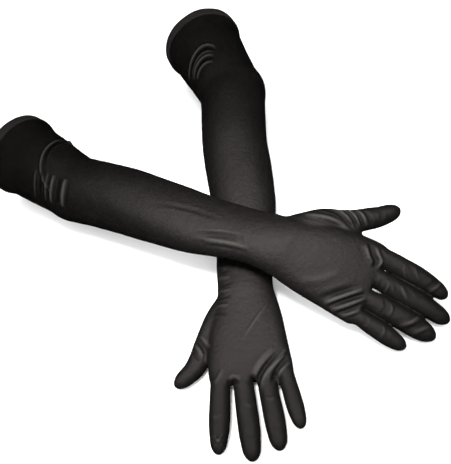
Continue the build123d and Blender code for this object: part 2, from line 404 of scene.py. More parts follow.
# %% Arm stations
UPPER_STATIONS = (  # from the elbow towards the hem, half width, half height
    (75.0, 44.2, 44.0), (55.0, 42.3, 41.8), (32.0, 40.2, 38.8), (14.0, 38.6, 37.0))
FOREARM_STATIONS = (  # back from the wrist, away from the thumb, half width, half height
    (238.0, -0.5, 37.2, 36.0), (214.0, -1.2, 36.7, 35.3), (180.0, -1.6, 36.6, 33.2),
    (150.0, -0.5, 36.2, 29.6), (120.0, 1.0, 35.2, 26.2), (95.0, 2.0, 33.8, 23.4),
    (70.0, 1.6, 31.8, 20.9), (46.0, 0.6, 30.2, 19.0), (24.0, -0.6, 29.0, 18.6))
PALM_STATIONS = (  # forward of the wrist, thumbward, half width, half height, boxiness
    (3.0, 0.4, 28.0, 18.2, 2.0), (18.0, 1.2, 31.0, 17.3, 2.15), (32.0, 2.4, 34.3, 16.5, 2.3),
    (48.0, 3.6, 37.0, 15.6, 2.45), (65.0, 4.2, 38.8, 14.2, 2.5), (80.0, 4.0, 40.0, 12.2, 2.5),
    (91.0, 3.6, 40.3, 10.3, 2.5), (97.0, 3.6, 38.6, 8.6, 2.4))
PALM_FULLER = {"left": 0.0, "right": 1.6}  # added to the half width
BOW = {"left": 1.6, "right": 0.2}  # how far the forearm bows away from the thumb
SLIMMER = {"left": 0.6, "right": 1.4}  # taken off the half width round the elbow
TABLE_GAP = 0.3
CUFF_MARGIN = 1.4  # from the bore of the cuff to the middle of its cloth
CUFF_REACH = (2, 13)  # rings of the cuff, back from its mouth
ELBOW_HALF = (38.8, 36.2)  # half width and half height at the bend
BOW_SPAN = 190  # the bow of the forearm ends this far back from the wrist


def arm_rows(glove):
    """Centre, ring directions, half width, half height and boxiness of every station."""
    level_of = lambda along: Vector((0, 0, 1)).cross(along).normalized() * glove.side
    rows = []

    def add(centre, along, half_width, half_height, boxy=2.0, wide=None, high=None):
        wide = wide or level_of(along)
        high = high or Vector((0, 0, 1))
        rows.append([*centre, *wide, *high, half_width * MM, half_height * MM, boxy])

    bore = mounts[f"{glove.name}_cuff"]["dims"]["r_mm"] + CUFF_MARGIN
    for back in CUFF_REACH:
        add(glove.mouth - glove.upper * back * MM, -glove.upper, bore, bore)
    length = (glove.mouth - glove.elbow).dot(glove.upper)
    for back, half_width, half_height in UPPER_STATIONS:
        centre = glove.elbow + glove.upper * back * MM
        share = back * MM / length
        centre.z = glove.elbow.z * (1 - share) + glove.mouth.z * share
        centre.z = max(centre.z, (half_height + TABLE_GAP) * MM)
        add(centre, -glove.upper, half_width - SLIMMER[glove.name], half_height)
    turn = (glove.forearm - glove.upper).normalized()
    half_width, half_height = ELBOW_HALF
    slanting = (half_width - SLIMMER[glove.name]) / abs(turn.dot(glove.forearm))
    add(glove.elbow, turn, slanting, half_height)
    span = (glove.wrist - glove.elbow).dot(glove.forearm)
    outward = level_of(glove.forearm) * -1
    lies = glove.wrist.z < 30 * MM
    for back, bulge, half_width, half_height in FOREARM_STATIONS:
        bulge += BOW[glove.name] * math.sin(math.pi * min(back / BOW_SPAN, 1))
        centre = glove.wrist - glove.forearm * back * MM + outward * bulge * MM
        share = back * MM / span
        resting = (half_height + TABLE_GAP) * MM
        centre.z = resting if lies else glove.wrist.z * (1 - share) + glove.elbow.z * share
        add(centre, glove.forearm, half_width, half_height)
    fuller = PALM_FULLER[glove.name]
    for forward, sideways, half_width, half_height, boxy in PALM_STATIONS:
        add(glove.place(forward, sideways - fuller * 0.6), glove.forward, half_width + fuller,
            half_height, boxy, glove.thumbward, glove.up)
    return rows


def arm_form(form, glove):
    rings = []
    for row in curve_through(arm_rows(glove), 4):
        wide, high = Vector(row[3:6]).normalized(), Vector(row[6:9]).normalized()
        rings.append(add_ring(form, row[:3], wide, high, *row[9:12]))
    bridge_rings(form, rings)


# %% [markdown]
# ## Fingers and thumb
# A finger starts inside the palm, swells a little at its folds, tapers and ends in a dome. Satin
# fingers are fuller than the finger inside. The thumb grows out of the side of the wrist, and a
# flat web fills the angle between it and the palm.

# %% Digit stations
FINGER_RADII = {  # at the web, at the second fold, near the tip
    "left": {"index": (9.5, 9.9, 8.1), "middle": (9.5, 10.0, 8.8), "ring": (9.1, 9.4, 8.5),
             "little": (7.9, 8.2, 7.2)},
    "right": {"index": (9.5, 9.9, 8.4), "middle": (9.5, 9.9, 8.7), "ring": (9.3, 10.3, 9.2),
              "little": (8.0, 8.7, 7.7)},
}
THUMB_STATIONS = {  # forward of the wrist, thumbward, up, radius
    "left": ((4.0, 10.0, -4.0, 13.5), (16.0, 19.0, -4.0, 15.0), (32.0, 32.5, -4.5, 14.0)),
    "right": ((2.0, 14.5, -4.0, 14.5), (15.0, 25.0, -4.0, 15.5), (31.0, 39.0, -4.5, 14.8)),
}
THUMB_RADII = {"left": (10.9, 10.2, 8.9), "right": (11.9, 10.9, 9.6)}
THUMB_LEAN = {"left": 0.0, "right": 3.5}  # forward, at its tip
TIP_SHIFT = {  # how far a relaxed fingertip leans: forward, thumbward
    "left": {"index": (0, 0), "middle": (0, 0.6), "ring": (0, 0.8), "little": (2, -0.5)},
    "right": {"index": (2.5, -4), "middle": (3, -3), "ring": (3.5, -1.5), "little": (1.5, -0.5)},
}
DOME = 1.7  # length of a fingertip's dome, in radii
FLAT = 0.94  # a finger's height as a share of its width


def digit_form(form, path, radii, high):
    """A closed tube through points, each with a radius, ending in a dome."""
    rows = curve_through([[*centre, radius] for centre, radius in zip(path, radii)], 5)
    end, radius = Vector(rows[-1][:3]), rows[-1][3]
    onward = (end - Vector(rows[-3][:3])).normalized()
    stations = [(Vector(row[:3]), row[3]) for row in rows]
    for step in range(1, 8):
        turn = math.radians(step * 88 / 7)
        stations.append((end + onward * math.sin(turn) * radius * DOME, radius * math.cos(turn)))
    rings = []
    for index, (centre, size) in enumerate(stations):
        ahead = stations[min(index + 1, len(stations) - 1)][0]
        behind = stations[max(index - 1, 0)][0]
        along = (ahead - behind).normalized()
        wide = high.cross(along).normalized()
        rings.append(add_ring(form, centre, wide, along.cross(wide), size, size * FLAT))
    bridge_rings(form, rings)


def finger_form(form, glove, digit):
    bone = glove.digits[digit]
    web, fold, tip = (radius * MM for radius in FINGER_RADII[glove.name][digit])
    root, along = bone["root"], bone["along"]
    forward, sideways = TIP_SHIFT[glove.name][digit]
    lean = (glove.forward * forward + glove.thumbward * sideways) * MM
    end = bone["tip"] - bone["onward"] * tip * DOME + lean
    second = bone["second"] + lean * 0.4
    path = [root - along * 30 * MM, root - along * 12 * MM, bone["first"],
            bone["first"].lerp(second, 0.55), second, second.lerp(end, 0.55), end]
    digit_form(form, path, [web * 0.9, web, web, fold * 0.975, fold, (fold + tip) / 2 + 0.4 * MM,
                            tip], glove.up)


def thumb_form(form, glove):
    bone = glove.thumb
    first, second, tip = (radius * MM for radius in THUMB_RADII[glove.name])
    end = bone["tip"] - bone["onward"] * tip * DOME + glove.forward * THUMB_LEAN[glove.name] * MM
    stations = THUMB_STATIONS[glove.name]
    path = [glove.place(*station[:3]) for station in stations]
    radii = [station[3] * MM for station in stations]
    middle = bone["first"].lerp(bone["second"], 0.5)
    hitch = (bone["second"] - bone["first"]).normalized()
    bow = (bone["onward"] - hitch * bone["onward"].dot(hitch)).normalized() * -1.0 * MM
    path += [bone["first"], middle + bow, bone["second"] + bow, bone["second"].lerp(end, 0.5) + bow, end]
    radii += [first, first * 0.5 + second * 0.5, second, second * 0.55 + tip * 0.45, tip]
    digit_form(form, path, radii, glove.up)


def web_form(form, glove):
    """The flat web between thumb and palm."""
    bone = glove.thumb
    middle = glove.place(50, 34, -3).lerp(bone["first"], 0.35)
    turn = Matrix((glove.forward, glove.thumbward, glove.up)).transposed().to_4x4()
    size = Matrix.Diagonal((21 * MM, 15 * MM, 9.5 * MM, 1))
    bmesh.ops.create_uvsphere(form, u_segments=32, v_segments=16, radius=1.0,
                              matrix=Matrix.Translation(middle) @ turn @ size)


# %% [markdown]
# ## One skin
# The forms overlap, and a voxel remesh melts them into a single skin with even faces. Smoothing
# then rounds the webs between the fingers. A few passes are enough: more would thin the fingers.

# %% Melt and smooth
VOXEL = 1.25 * MM
SMOOTH_PASSES = 10


def smooth(skin, passes, factor):
    for _ in range(passes):
        bmesh.ops.smooth_vert(skin, verts=skin.verts, factor=factor, use_axis_x=True,
                              use_axis_y=True, use_axis_z=True)


def melted_skin(glove):
    form = bmesh.new()
    arm_form(form, glove)
    for digit in DIGITS:
        finger_form(form, glove, digit)
    thumb_form(form, glove)
    web_form(form, glove)
    bmesh.ops.recalc_face_normals(form, faces=form.faces)
    mesh = bpy.data.meshes.new(f"{glove.name}_forms")
    form.to_mesh(mesh)
    form.free()
    body = bpy.data.objects.new(f"{glove.name}_forms", mesh)
    bpy.context.scene.collection.objects.link(body)
    remesh = body.modifiers.new("melt", "REMESH")
    remesh.mode = "VOXEL"
    remesh.voxel_size = VOXEL
    graph = bpy.context.evaluated_depsgraph_get()
    melted = bpy.data.meshes.new_from_object(body.evaluated_get(graph))
    bpy.data.objects.remove(body)
    skin = bmesh.new()
    skin.from_mesh(melted)
    bpy.data.meshes.remove(melted)
    smooth(skin, SMOOTH_PASSES, 0.5)
    skin.normal_update()
    print(glove.name, "skin faces", len(skin.faces))
    return skin


# %% [markdown]
# ## Folds
# A fold is a soft ridge, or a valley when its height is negative, along a curve on the cloth. The
# curve is given by a few points in the hand's or the elbow's own millimetres and dropped onto the
# skin by casting rays. Each point of the skin near it moves along its normal by a bell-shaped
# profile with a shallow trough on both sides, which is how cloth pushed together looks. The same
# profile is kept as an attribute, and the material reads it to paint a highlight on the ridges and
# shade in the valleys.

# %% Fold tools
class Folds:
    """Gathers the folds of one skin and then presses them all in."""

    def __init__(self, skin):
        self.skin = skin
        self.layer = skin.verts.layers.float.new("fold")
        self.tree = BVHTree.FromBMesh(skin)
        self.lines = []

    def add(self, points, down, height, width, fade=0.7):
        """points are places near the skin; down is the direction that drops them onto it."""
        samples = []
        for row in curve_through([[*place] for place in points], 12):
            hit = self.tree.ray_cast(Vector(row) - down * 80 * MM, down)[0]
            if hit is not None:
                samples.append(hit)
        if len(samples) > 2:
            self.lines.append((np.array(samples), height * MM, width * MM, fade))

    def press(self, slack):
        """Moves the skin by its folds, and by slack(place), a slow unevenness."""
        verts = self.skin.verts[:]
        places = np.array([vert.co for vert in verts])
        normals = np.array([vert.normal for vert in verts])
        shift = np.array([slack(vert.co) for vert in verts])
        tone = np.zeros(len(verts))
        for samples, height, width, fade in self.lines:
            near = np.all((places > samples.min(0) - 3.2 * width) & (places < samples.max(0) + 3.2 * width),
                          axis=1).nonzero()[0]
            if len(near) == 0:
                continue
            gap = np.linalg.norm(places[near, None] - samples[None], axis=2)
            closest = gap.argmin(1)
            gap = gap.min(1) / width
            along = closest / (len(samples) - 1)
            taper = np.clip(np.sin(np.pi * along), 0, 1) ** fade
            ridge = np.exp(-gap ** 2) - 0.38 * np.exp(-((gap - 1.9) / 0.8) ** 2)
            shift[near] += height * taper * ridge
            # This tone becomes the fold attribute: the mask by which the material paints a highlight on ridges and
            # shade in valleys.
            tone[near] += height / MM * taper * (ridge + 0.15 * np.exp(-(gap / 0.45) ** 2))
        for vert, move, shine in zip(verts, normals * shift[:, None], tone):
            vert.co += Vector(move)
            vert[self.layer] = min(max(float(shine), -2.0), 2.0)
        print("folds", len(self.lines), "deepest, mm", round(float(np.abs(shift).max()) / MM, 2))


# %% [markdown]
# ### Folds of the elbow
# The elbow is bent a little, so its inner side has spare cloth. It lies in nested arcs that start
# at the crook, climb over the top of the arm and fade. The right glove has one long sharp arc and
# a fan of short folds on its outer side. Arcs and straight lines are laid out on a dome over the
# elbow, and dropped onto the sleeve along the line of sight, because they run down its steep sides.

# %% Elbow folds
AZIMUTH, ELEVATION, ROLL = math.radians(27.5), math.radians(52.75), math.radians(-19.2)
TO_CAMERA = Vector((math.sin(AZIMUTH) * math.cos(ELEVATION),
                    -math.cos(AZIMUTH) * math.cos(ELEVATION), math.sin(ELEVATION)))
ELBOW_DOME = {"left": (60, 46), "right": (50, 41)}  # half spread and rise of the places above it
NESTED_FOLDS = ((1.9, 1.7), (-1.2, 1.3), (1.4, 1.2), (1.9, 1.6), (-1.3, 1.4), (1.7, 1.5))
FAN_FOLDS = ((1.0, 1.6), (-1.1, 1.6), (1.4, 1.5), (2.1, 2.0), (-1.5, 1.8), (2.1, 2.3))
FAN_START, FAN_STEP, FAN_LEAN = 31, 8, 6
FAN_SIDES = (14, 40)  # a fan fold's ends, left of the elbow
CROOK_FOLDS = ((-38, 2.6, 3.4), (-31, -1.2, 1.8))  # left of the elbow, height, width
CROOK_ENDS = (31, 7)
ARC_CENTRE = (-5, -28)  # of the long arc: back from the elbow and left of it


def round_fold(centre, reach, first, last):
    """Places along an elliptic arc about the elbow, between two angles in degrees."""
    turns = [math.radians(first + (last - first) * k / 8) for k in range(9)]
    return [(centre[0] + reach[0] * math.cos(t), centre[1] + reach[1] * math.sin(t)) for t in turns]


def straight_fold(start, end):
    return [tuple(a + (b - a) * k / 4 for a, b in zip(start, end)) for k in range(5)]


def left_elbow_lines():
    """Nested arcs, each a little smaller than the one outside it."""
    for step, (height, width) in enumerate(NESTED_FOLDS):
        yield round_fold((8 - 2 * step, 25 - step), (34 - 3.6 * step, 22 - 1.5 * step),
                         -42 + 4 * step, 90), height, width


def right_elbow_lines():
    """The long arc and the valley inside it, then the crook and the fan."""
    yield round_fold(ARC_CENTRE, (42, 60), -16, 80), 1.7, 1.3
    yield round_fold(ARC_CENTRE, (38, 54), -8, 40), -1.0, 1.6
    start, end = CROOK_ENDS
    for aside, height, width in CROOK_FOLDS:
        yield straight_fold((start, aside), (end, aside)), height, width
    inner, outer = FAN_SIDES
    for step, (height, width) in enumerate(FAN_FOLDS):
        back_from = FAN_START - FAN_STEP * step
        yield straight_fold((back_from, inner), (back_from - FAN_LEAN, outer)), height, width


def elbow_folds(folds, glove):
    left = Vector((0, 0, -1)).cross(glove.forearm)
    spread, rise = ELBOW_DOME[glove.name]
    lines = left_elbow_lines() if glove.name == "left" else right_elbow_lines()
    for places, height, width in lines:
        line = []
        for back_from, aside in places:
            spot = glove.elbow + (glove.forearm * -back_from + left * aside) * MM
            spot.z += rise * math.sqrt(1 - (aside / spread) ** 2) * MM
            line.append(spot)
        folds.add(line, -TO_CAMERA, height, width, 0.45)


# %% [markdown]
# ### Folds of the hand
# On the hand the cloth is tight over the back and spare at the wrist, at the root of the thumb and
# between the ring and the little finger, where long folds run slantwise to the finger roots.

# %% Hand folds
HAND_FOLDS = {  # points forward of the wrist and thumbward, height, width
    "left": (
        (((-21, 27), (-16, 21), (-14, 12)), -1.0, 2.0),
        (((-11, 28), (-8, 20), (-6, 12)), 0.8, 1.8),
        (((-3, 28), (0, 20), (1, 11)), -0.9, 1.6),
        (((4, 28), (7, 20), (8, 12)), 0.8, 1.6),
        (((12, 30), (14, 21), (15, 12)), -0.9, 1.7),
        (((20, 32), (22, 24), (24, 15)), 0.7, 1.8),
        (((26, 34), (29, 27), (33, 19)), -0.8, 1.8),
        (((26, -23), (44, -8), (62, 7)), 0.9, 1.3),
        (((111, -1), (103, -3), (91, -12), (76, -30)), -2.3, 2.3),
        (((105, -4), (97, -9), (84, -22), (74, -33)), 1.9, 2.0),
        (((105, -14), (96, -20), (82, -33)), -1.5, 1.5),
        (((100, -12), (92, -18), (80, -31)), 1.3, 1.4),
        (((103, -18), (97, -24), (86, -36)), 1.3, 1.5),
        (((97, 1), (86, -6), (72, -22)), 0.9, 2.8),
        (((103, 27), (99, 20), (102, 13)), -0.9, 1.5),
        (((97, 25), (94, 19), (97, 12)), 0.8, 2.0),
        (((98, 38), (92, 32), (84, 28)), 0.6, 2.2),
        (((48, 53), (56, 48), (66, 43)), -1.3, 1.7),
        (((46, 48), (54, 43), (62, 39)), 1.0, 1.8),
        (((54, 56), (60, 51), (69, 47)), 1.1, 1.7),
        (((60, 58), (66, 54), (73, 50)), -1.1, 1.5),
    ),
    "right": (
        (((20, 48), (38, 51), (56, 45)), -1.0, 1.6),
        (((28, 53), (42, 54), (59, 46)), 1.2, 1.6),
        (((36, 57), (48, 56), (61, 48)), -1.5, 1.5),
        (((41, 60), (52, 58), (63, 49)), 1.5, 1.5),
        (((47, 62), (56, 59), (66, 51)), -1.5, 1.5),
        (((52, 64), (60, 61), (69, 53)), 1.4, 1.6),
        (((57, 66), (65, 63), (73, 56)), -1.1, 1.6),
        (((72, 74), (76, 70), (79, 65)), -0.8, 1.8),
        (((8, 35), (24, 40), (40, 43), (58, 41)), 1.5, 2.2),
        (((78, 37), (84, 29), (90, 24), (90, 17)), -2.0, 2.0),
        (((84, 38), (89, 32), (95, 27), (94, 20)), 1.7, 1.8),
        (((89, 37), (94, 31), (98, 27)), -1.3, 1.5),
        (((73, 35), (79, 28), (85, 22)), 0.9, 2.6),
        (((63, -34), (76, -20), (91, -5)), 1.7, 2.2),
        (((67, -36), (80, -22), (94, -8)), -1.9, 1.8),
        (((72, -37), (84, -25), (97, -11)), 1.7, 1.6),
        (((77, -38), (87, -28), (96, -18)), -1.6, 1.5),
        (((83, -38), (90, -31), (97, -24)), 1.3, 1.5),
        (((58, -32), (70, -20), (82, -8)), -0.9, 3.0),
        (((30, -28), (50, -16), (66, 2)), 0.5, 4.0),
    ),
}
CROSSING_FOLDS = (  # right sleeve where it rests on the left: back from the wrist, away from the thumb
    ((30, 12), (52, 17), (78, 26)), ((22, 19), (44, 22), (66, 28)), ((60, 2), (95, 5), (130, 12)))


def hand_folds(folds, glove):
    for places, height, width in HAND_FOLDS[glove.name]:
        folds.add([glove.place(*place) for place in places], -glove.up, height, width)
    if glove.name == "right":
        for places, height in zip(CROSSING_FOLDS, (-1.2, 1.2, -0.7)):
            line = [glove.place(-back, -away) for back, away in places]
            folds.add(line, -glove.up, height, 2.2)


# %% [markdown]
# ### Creases of the fingers
# The right ring finger has the loosest cloth: short folds run slantwise over its last joint. The
# others have a few fine creases. Under every fold of a finger the cloth is pushed together into
# deeper creases, set by a loop with a little seeded unevenness so that no two fingers match.

# %% Finger creases
FINGER_FOLDS = {  # points forward of the wrist and thumbward, height, width
    "left": (
        (((145, 33), (151, 38), (158, 44)), 0.6, 1.2),
        (((145, 44), (151, 39), (158, 34)), 0.6, 1.2),
        (((152, 32), (151, 38), (151, 46)), 0.5, 1.2),
        (((127, 44), (130, 38), (128, 32)), 0.4, 1.6),
        (((121, 12), (124, 6), (122, 0)), 0.35, 1.6),
        (((150, 14), (153, 8), (151, 3)), -0.4, 1.5),
        (((118, -6), (121, -12), (119, -18)), 0.4, 1.6),
        (((145, -10), (149, -15), (147, -21)), -0.4, 1.5),
    ),
    "right": (
        (((115, 34), (117, 28), (122, 22)), 0.7, 1.3),
        (((119, 36), (123, 30), (129, 24)), -0.7, 1.4),
        (((124, 37), (128, 31), (133, 26)), 0.6, 1.4),
        (((146, 20), (150, 27), (153, 35)), 0.9, 1.6),
        (((141, 21), (145, 28), (148, 36)), -0.6, 1.6),
        (((101, 13), (103, 6), (102, -1)), -0.6, 1.4),
        (((107, 14), (110, 7), (109, 0)), 0.6, 1.4),
        (((114, 14), (118, 8), (123, 2)), -0.9, 1.6),
        (((120, 15), (125, 9), (131, 3)), 0.9, 1.6),
        (((127, 15), (132, 9), (137, 4)), -0.6, 1.6),
        (((112, -4), (116, -11), (115, -19)), -0.8, 1.5),
        (((118, -4), (122, -11), (121, -19)), 0.8, 1.5),
        (((134, -21), (142, -13), (148, -3)), 1.1, 1.9),
        (((140, -23), (148, -14), (154, -5)), -1.1, 1.8),
        (((147, -23), (154, -15), (160, -7)), 0.8, 1.8),
        (((103, -26), (105, -32), (103, -39)), -0.6, 1.5),
        (((120, -26), (124, -32), (123, -40)), 0.6, 1.6),
    ),
}
random = np.random.default_rng(21)


def digit_creases(folds, glove):
    for places, height, width in FINGER_FOLDS[glove.name]:
        folds.add([glove.place(*place) for place in places], -glove.up, height, width)
    for digit, bone in {**glove.digits, "thumb": glove.thumb}.items():
        wide = glove.up.cross(bone["along"]).normalized()
        for fold in ("first", "second"):
            for step in (-1, 0, 1):
                offset = step * 3.5 + random.uniform(-0.7, 0.7) + (8 if fold == "first" else 0)
                centre = bone[fold] + bone["along"] * offset * MM
                slant = bone["along"] * random.uniform(-1.2, 1.2) * MM
                ends = [centre - wide * 7.5 * MM - slant, centre, centre + wide * 7.5 * MM + slant]
                folds.add(ends, glove.up, -0.8 if step == 0 else 0.6, 1.6)


# %% [markdown]
# ### Fuller fingers
# Right after the melting, neighbouring fingers must stand apart, or they would melt together.
# Then they swell sideways until the right hand's fingers touch, as they do when it lies relaxed.

# %% Swell the fingers
def nearest_digit(glove, place):
    """The digit whose line is nearest, and how near."""
    best = (None, 1.0)
    for digit, bone in {**glove.digits, "thumb": glove.thumb}.items():
        for start, end in ((bone["first"], bone["second"]), (bone["second"], bone["tip"])):
            line = end - start
            share = min(max((place - start).dot(line) / line.length_squared, 0), 1)
            gap = (place - start - line * share).length
            if gap < best[1]:
                best = (digit, gap)
    return best[0]


FINGER_SWELL = {
    "left": {"index": 0.3, "middle": 0.3, "ring": 0.3, "little": 0.2},
    "right": {"index": 0.8, "middle": 0.7, "ring": 1.1, "little": 0.6},
}


def swell_fingers(skin, glove):
    for digit, bone in glove.digits.items():
        along = bone["along"]
        wide = glove.up.cross(along).normalized()
        length = (bone["tip"] - bone["root"]).length
        for vert in skin.verts:
            reach_out = (vert.co - bone["root"]).dot(along)
            if not 2 * MM < reach_out < length + 4 * MM:
                continue
            aside = vert.co - bone["root"] - along * reach_out
            if aside.length > 14 * MM or nearest_digit(glove, vert.co) != digit:
                continue
            start = min((reach_out - 2 * MM) / (12 * MM), 1)
            end = min(max((length - reach_out) / (12 * MM), 0), 1)
            swell = FINGER_SWELL[glove.name][digit] * MM * start * end
            vert.co += wide * swell * aside.dot(wide) / aside.length
    skin.normal_update()


# %% Press the folds into both skins
LEAST_HEIGHT = 0.25 * MM  # above the table


def slackness(glove):
    """Slow unevenness of the cloth: stronger on the sleeve, slight on the hand."""
    def slack(place):
        on_hand = (place - glove.wrist).dot(glove.forward) > -30 * MM
        slow = noise.noise(place * 26) * (0.25 if on_hand else 0.75)
        quick = noise.noise(place * 95 + Vector((3, 1, 2))) * (0.16 if on_hand else 0.18)
        return (slow + quick) * MM
    return slack


def folded_skin(glove):
    skin = melted_skin(glove)
    swell_fingers(skin, glove)
    folds = Folds(skin)
    elbow_folds(folds, glove)
    hand_folds(folds, glove)
    digit_creases(folds, glove)
    folds.press(slackness(glove))
    smooth(skin, 2, 0.35)
    for vert in skin.verts:
        vert.co.z = max(vert.co.z, LEAST_HEIGHT)
    skin.normal_update()
    return skin


skins = {name: folded_skin(glove) for name, glove in gloves.items()}

# %% [markdown]
# ## Cutting the skin into its pieces
# Each joint needs cloth that bends. The skin is cut across every digit at its first fold and again
# halfway to the second, across the wrist, and across both sides of the elbow. Between two cuts the
# cloth bends; at a cut it is rigid with the body on either side, so neighbours never part. The cut
# edges keep the normals of the uncut skin, so that no line shows in the shine.

# %% Cut tools
WRIST_BEND = 23 * MM
ELBOW_BEND = 43 * MM
MARGIN = 0.4 * MM
WEB_HALF = 3.6 * MM
THUMB_BEND = 8 * MM
GUSSET = 7  # width of the thumb gusset
GUSSET_START = 34  # forward of the wrist
HAND_PIECES = ("hand_back", "hand_palm")


def past(place, plane):
    """How far a place lies past a plane, given as a point and a direction."""
    co, direction = plane
    return (place - co).dot(direction)


def bisect(skin, chosen, place, normal):
    """Cuts the chosen faces along a plane."""
    faces = [face for face in skin.faces if chosen(face.calc_center_median())]
    parts = set(faces)
    for face in faces:
        parts.update(face.verts)
        parts.update(face.edges)
    bmesh.ops.bisect_plane(skin, geom=list(parts), dist=1e-7, plane_co=place, plane_no=normal)


def thumb_cut(glove):
    """A point and a direction of the plane that parts the thumb from the palm, at its web."""
    inner, outer = glove.place(72, 44), glove.place(38, 54)
    if glove.name == "right":
        inner, outer = glove.place(68, 46), glove.place(34, 57)
    line = (outer - inner).normalized()
    return inner, line.cross(glove.up).normalized() * (1 if line.cross(glove.up).dot(glove.thumbward) > 0
                                                       else -1)


def digit_cuts(glove):
    """For each finger: where it leaves the hand and where its base meets its tip."""
    cuts = {}
    for digit, bone in glove.digits.items():
        middle = bone["first"].lerp(bone["second"], 0.5)
        cuts[digit] = (bone["first"], middle)
    return cuts


def arm_cuts(glove):
    """Planes across the arm: hem side of the elbow, hand side of it, and both sides of the wrist."""
    upper_end = glove.elbow + glove.upper * ELBOW_BEND
    lower_end = glove.elbow + glove.forearm * ELBOW_BEND
    across = (upper_end - lower_end).normalized()
    return dict(upper=(upper_end + across * MARGIN, across), lower=(lower_end - across * MARGIN, across),
                before=(glove.wrist - glove.forward * (WRIST_BEND + MARGIN), -glove.forward),
                after=(glove.wrist + glove.forward * (WRIST_BEND + MARGIN), -glove.forward))


def piece_of(glove, place):
    """Which piece a spot of the skin belongs to."""
    planes = glove.planes
    local = place - glove.wrist
    if past(place, planes["after"]) <= 0:
        digit = nearest_digit(glove, place)
        if digit == "thumb":
            if past(place, planes["thumb"]) > 0:
                return "thumb_tip" if past(place, planes["thumb_knee"]) > 0 else "thumb_base"
            forward = local.dot(glove.forward) / MM
            if past(place, planes["thumb"]) > -GUSSET * MM and forward > GUSSET_START:
                return "thumb_gusset"
        elif (place - planes[digit][0]).dot(glove.digits[digit]["along"]) > 0:
            bone = glove.digits[digit]
            tip = (place - planes[digit][1]).dot(bone["along"]) > 0
            return f"{digit}_tip" if tip else f"{digit}_base"
        for outside, inside in zip(DIGITS, DIGITS[1:]):
            co, direction = planes[outside, inside]
            if (abs((place - co).dot(direction)) < WEB_HALF and (place - co).dot(glove.forward) > 0
                    and abs((place - co).dot(glove.up)) < 9 * MM):
                return f"{outside}_{inside}_fourchette"
        return "hand_back" if local.dot(glove.up) > 0 else "hand_palm"
    if past(place, planes["before"]) <= 0:
        return "wrist_sleeve"
    if past(place, planes["upper"]) > 0:
        return "upper_sleeve"
    return "elbow_gather" if past(place, planes["lower"]) > 0 else "forearm_sleeve"


def prepare_planes(glove):
    planes = {**arm_cuts(glove), **digit_cuts(glove)}
    planes["thumb"] = thumb_cut(glove)
    knee = glove.thumb["second"] - glove.thumb["onward"] * 1.5 * MM
    planes["thumb_knee"] = (knee, glove.thumb["onward"])
    for outside, inside in zip(DIGITS, DIGITS[1:]):
        one, other = glove.digits[outside], glove.digits[inside]
        middle = (one["root"] + other["root"]) / 2 - glove.forward * 3 * MM
        planes[outside, inside] = (middle, (other["root"] - one["root"]).normalized())
    glove.planes = planes


def cut_skin(skin, glove):
    """Cuts along every plane, where that plane belongs."""
    prepare_planes(glove)
    planes = glove.planes
    for name in ("upper", "lower", "before", "after"):
        co, normal = planes[name]
        near = lambda place: abs((place - co).dot(normal)) < 4 * MM
        bisect(skin, near, co, normal)
    bisect(skin, lambda place: piece_of(glove, place) in HAND_PIECES + ("thumb_gusset",)
           and abs((place - glove.wrist).dot(glove.up)) < 4 * MM, glove.wrist, glove.up)
    for digit, bone in glove.digits.items():
        for co in planes[digit]:
            near = lambda place: (abs((place - co).dot(bone["along"])) < 4 * MM
                                  and nearest_digit(glove, place) == digit)
            bisect(skin, near, co, bone["along"])
    co, normal = planes["thumb"]
    for offset in (0.0, -GUSSET * MM):
        spot = co + normal * offset
        bisect(skin, lambda place: abs((place - spot).dot(normal)) < 4 * MM
               and nearest_digit(glove, place) == "thumb", spot, normal)
    co, normal = planes["thumb_knee"]
    bisect(skin, lambda place: abs((place - co).dot(normal)) < 4 * MM
           and nearest_digit(glove, place) == "thumb", co, normal)
    for outside, inside in zip(DIGITS, DIGITS[1:]):
        co, normal = planes[outside, inside]
        near = lambda place: (place - co).length < 14 * MM
        for spot, direction in ((co + normal * WEB_HALF, normal), (co - normal * WEB_HALF, normal),
                                (co, glove.forward)):
            bisect(skin, near, spot, direction)


# %% [markdown]
# ## Walls
# A piece of skin has no thickness yet. `extrude_face_region` copies it and closes its rim, and the
# copy moves inward by the thickness of the cloth along the stored normals, so that the inner walls
# of neighbours meet as well as their outer ones do.

# %% Pieces with walls
WALL = 0.8 * MM
pieces = {}


def wall_mesh(name, part):
    """Gives a bmesh its inner wall, writes it to a mesh and sets its shading normals."""
    made = bmesh.ops.extrude_face_region(part, geom=part.faces[:], use_keep_orig=True)["geom"]
    layer = part.verts.layers.float_vector["skin_normal"]
    for item in made:
        if isinstance(item, bmesh.types.BMVert):
            inward = item[layer].normalized()
            item.co -= inward * WALL
            item[layer] = -inward
    bmesh.ops.recalc_face_normals(part, faces=part.faces)
    for face in part.faces:
        face.smooth = True
    normals = [vert[layer].normalized() for vert in part.verts]
    mesh = bpy.data.meshes.new(name)
    part.to_mesh(mesh)
    mesh.normals_split_custom_set_from_vertices(normals)
    mesh.attributes.remove(mesh.attributes["skin_normal"])
    return mesh


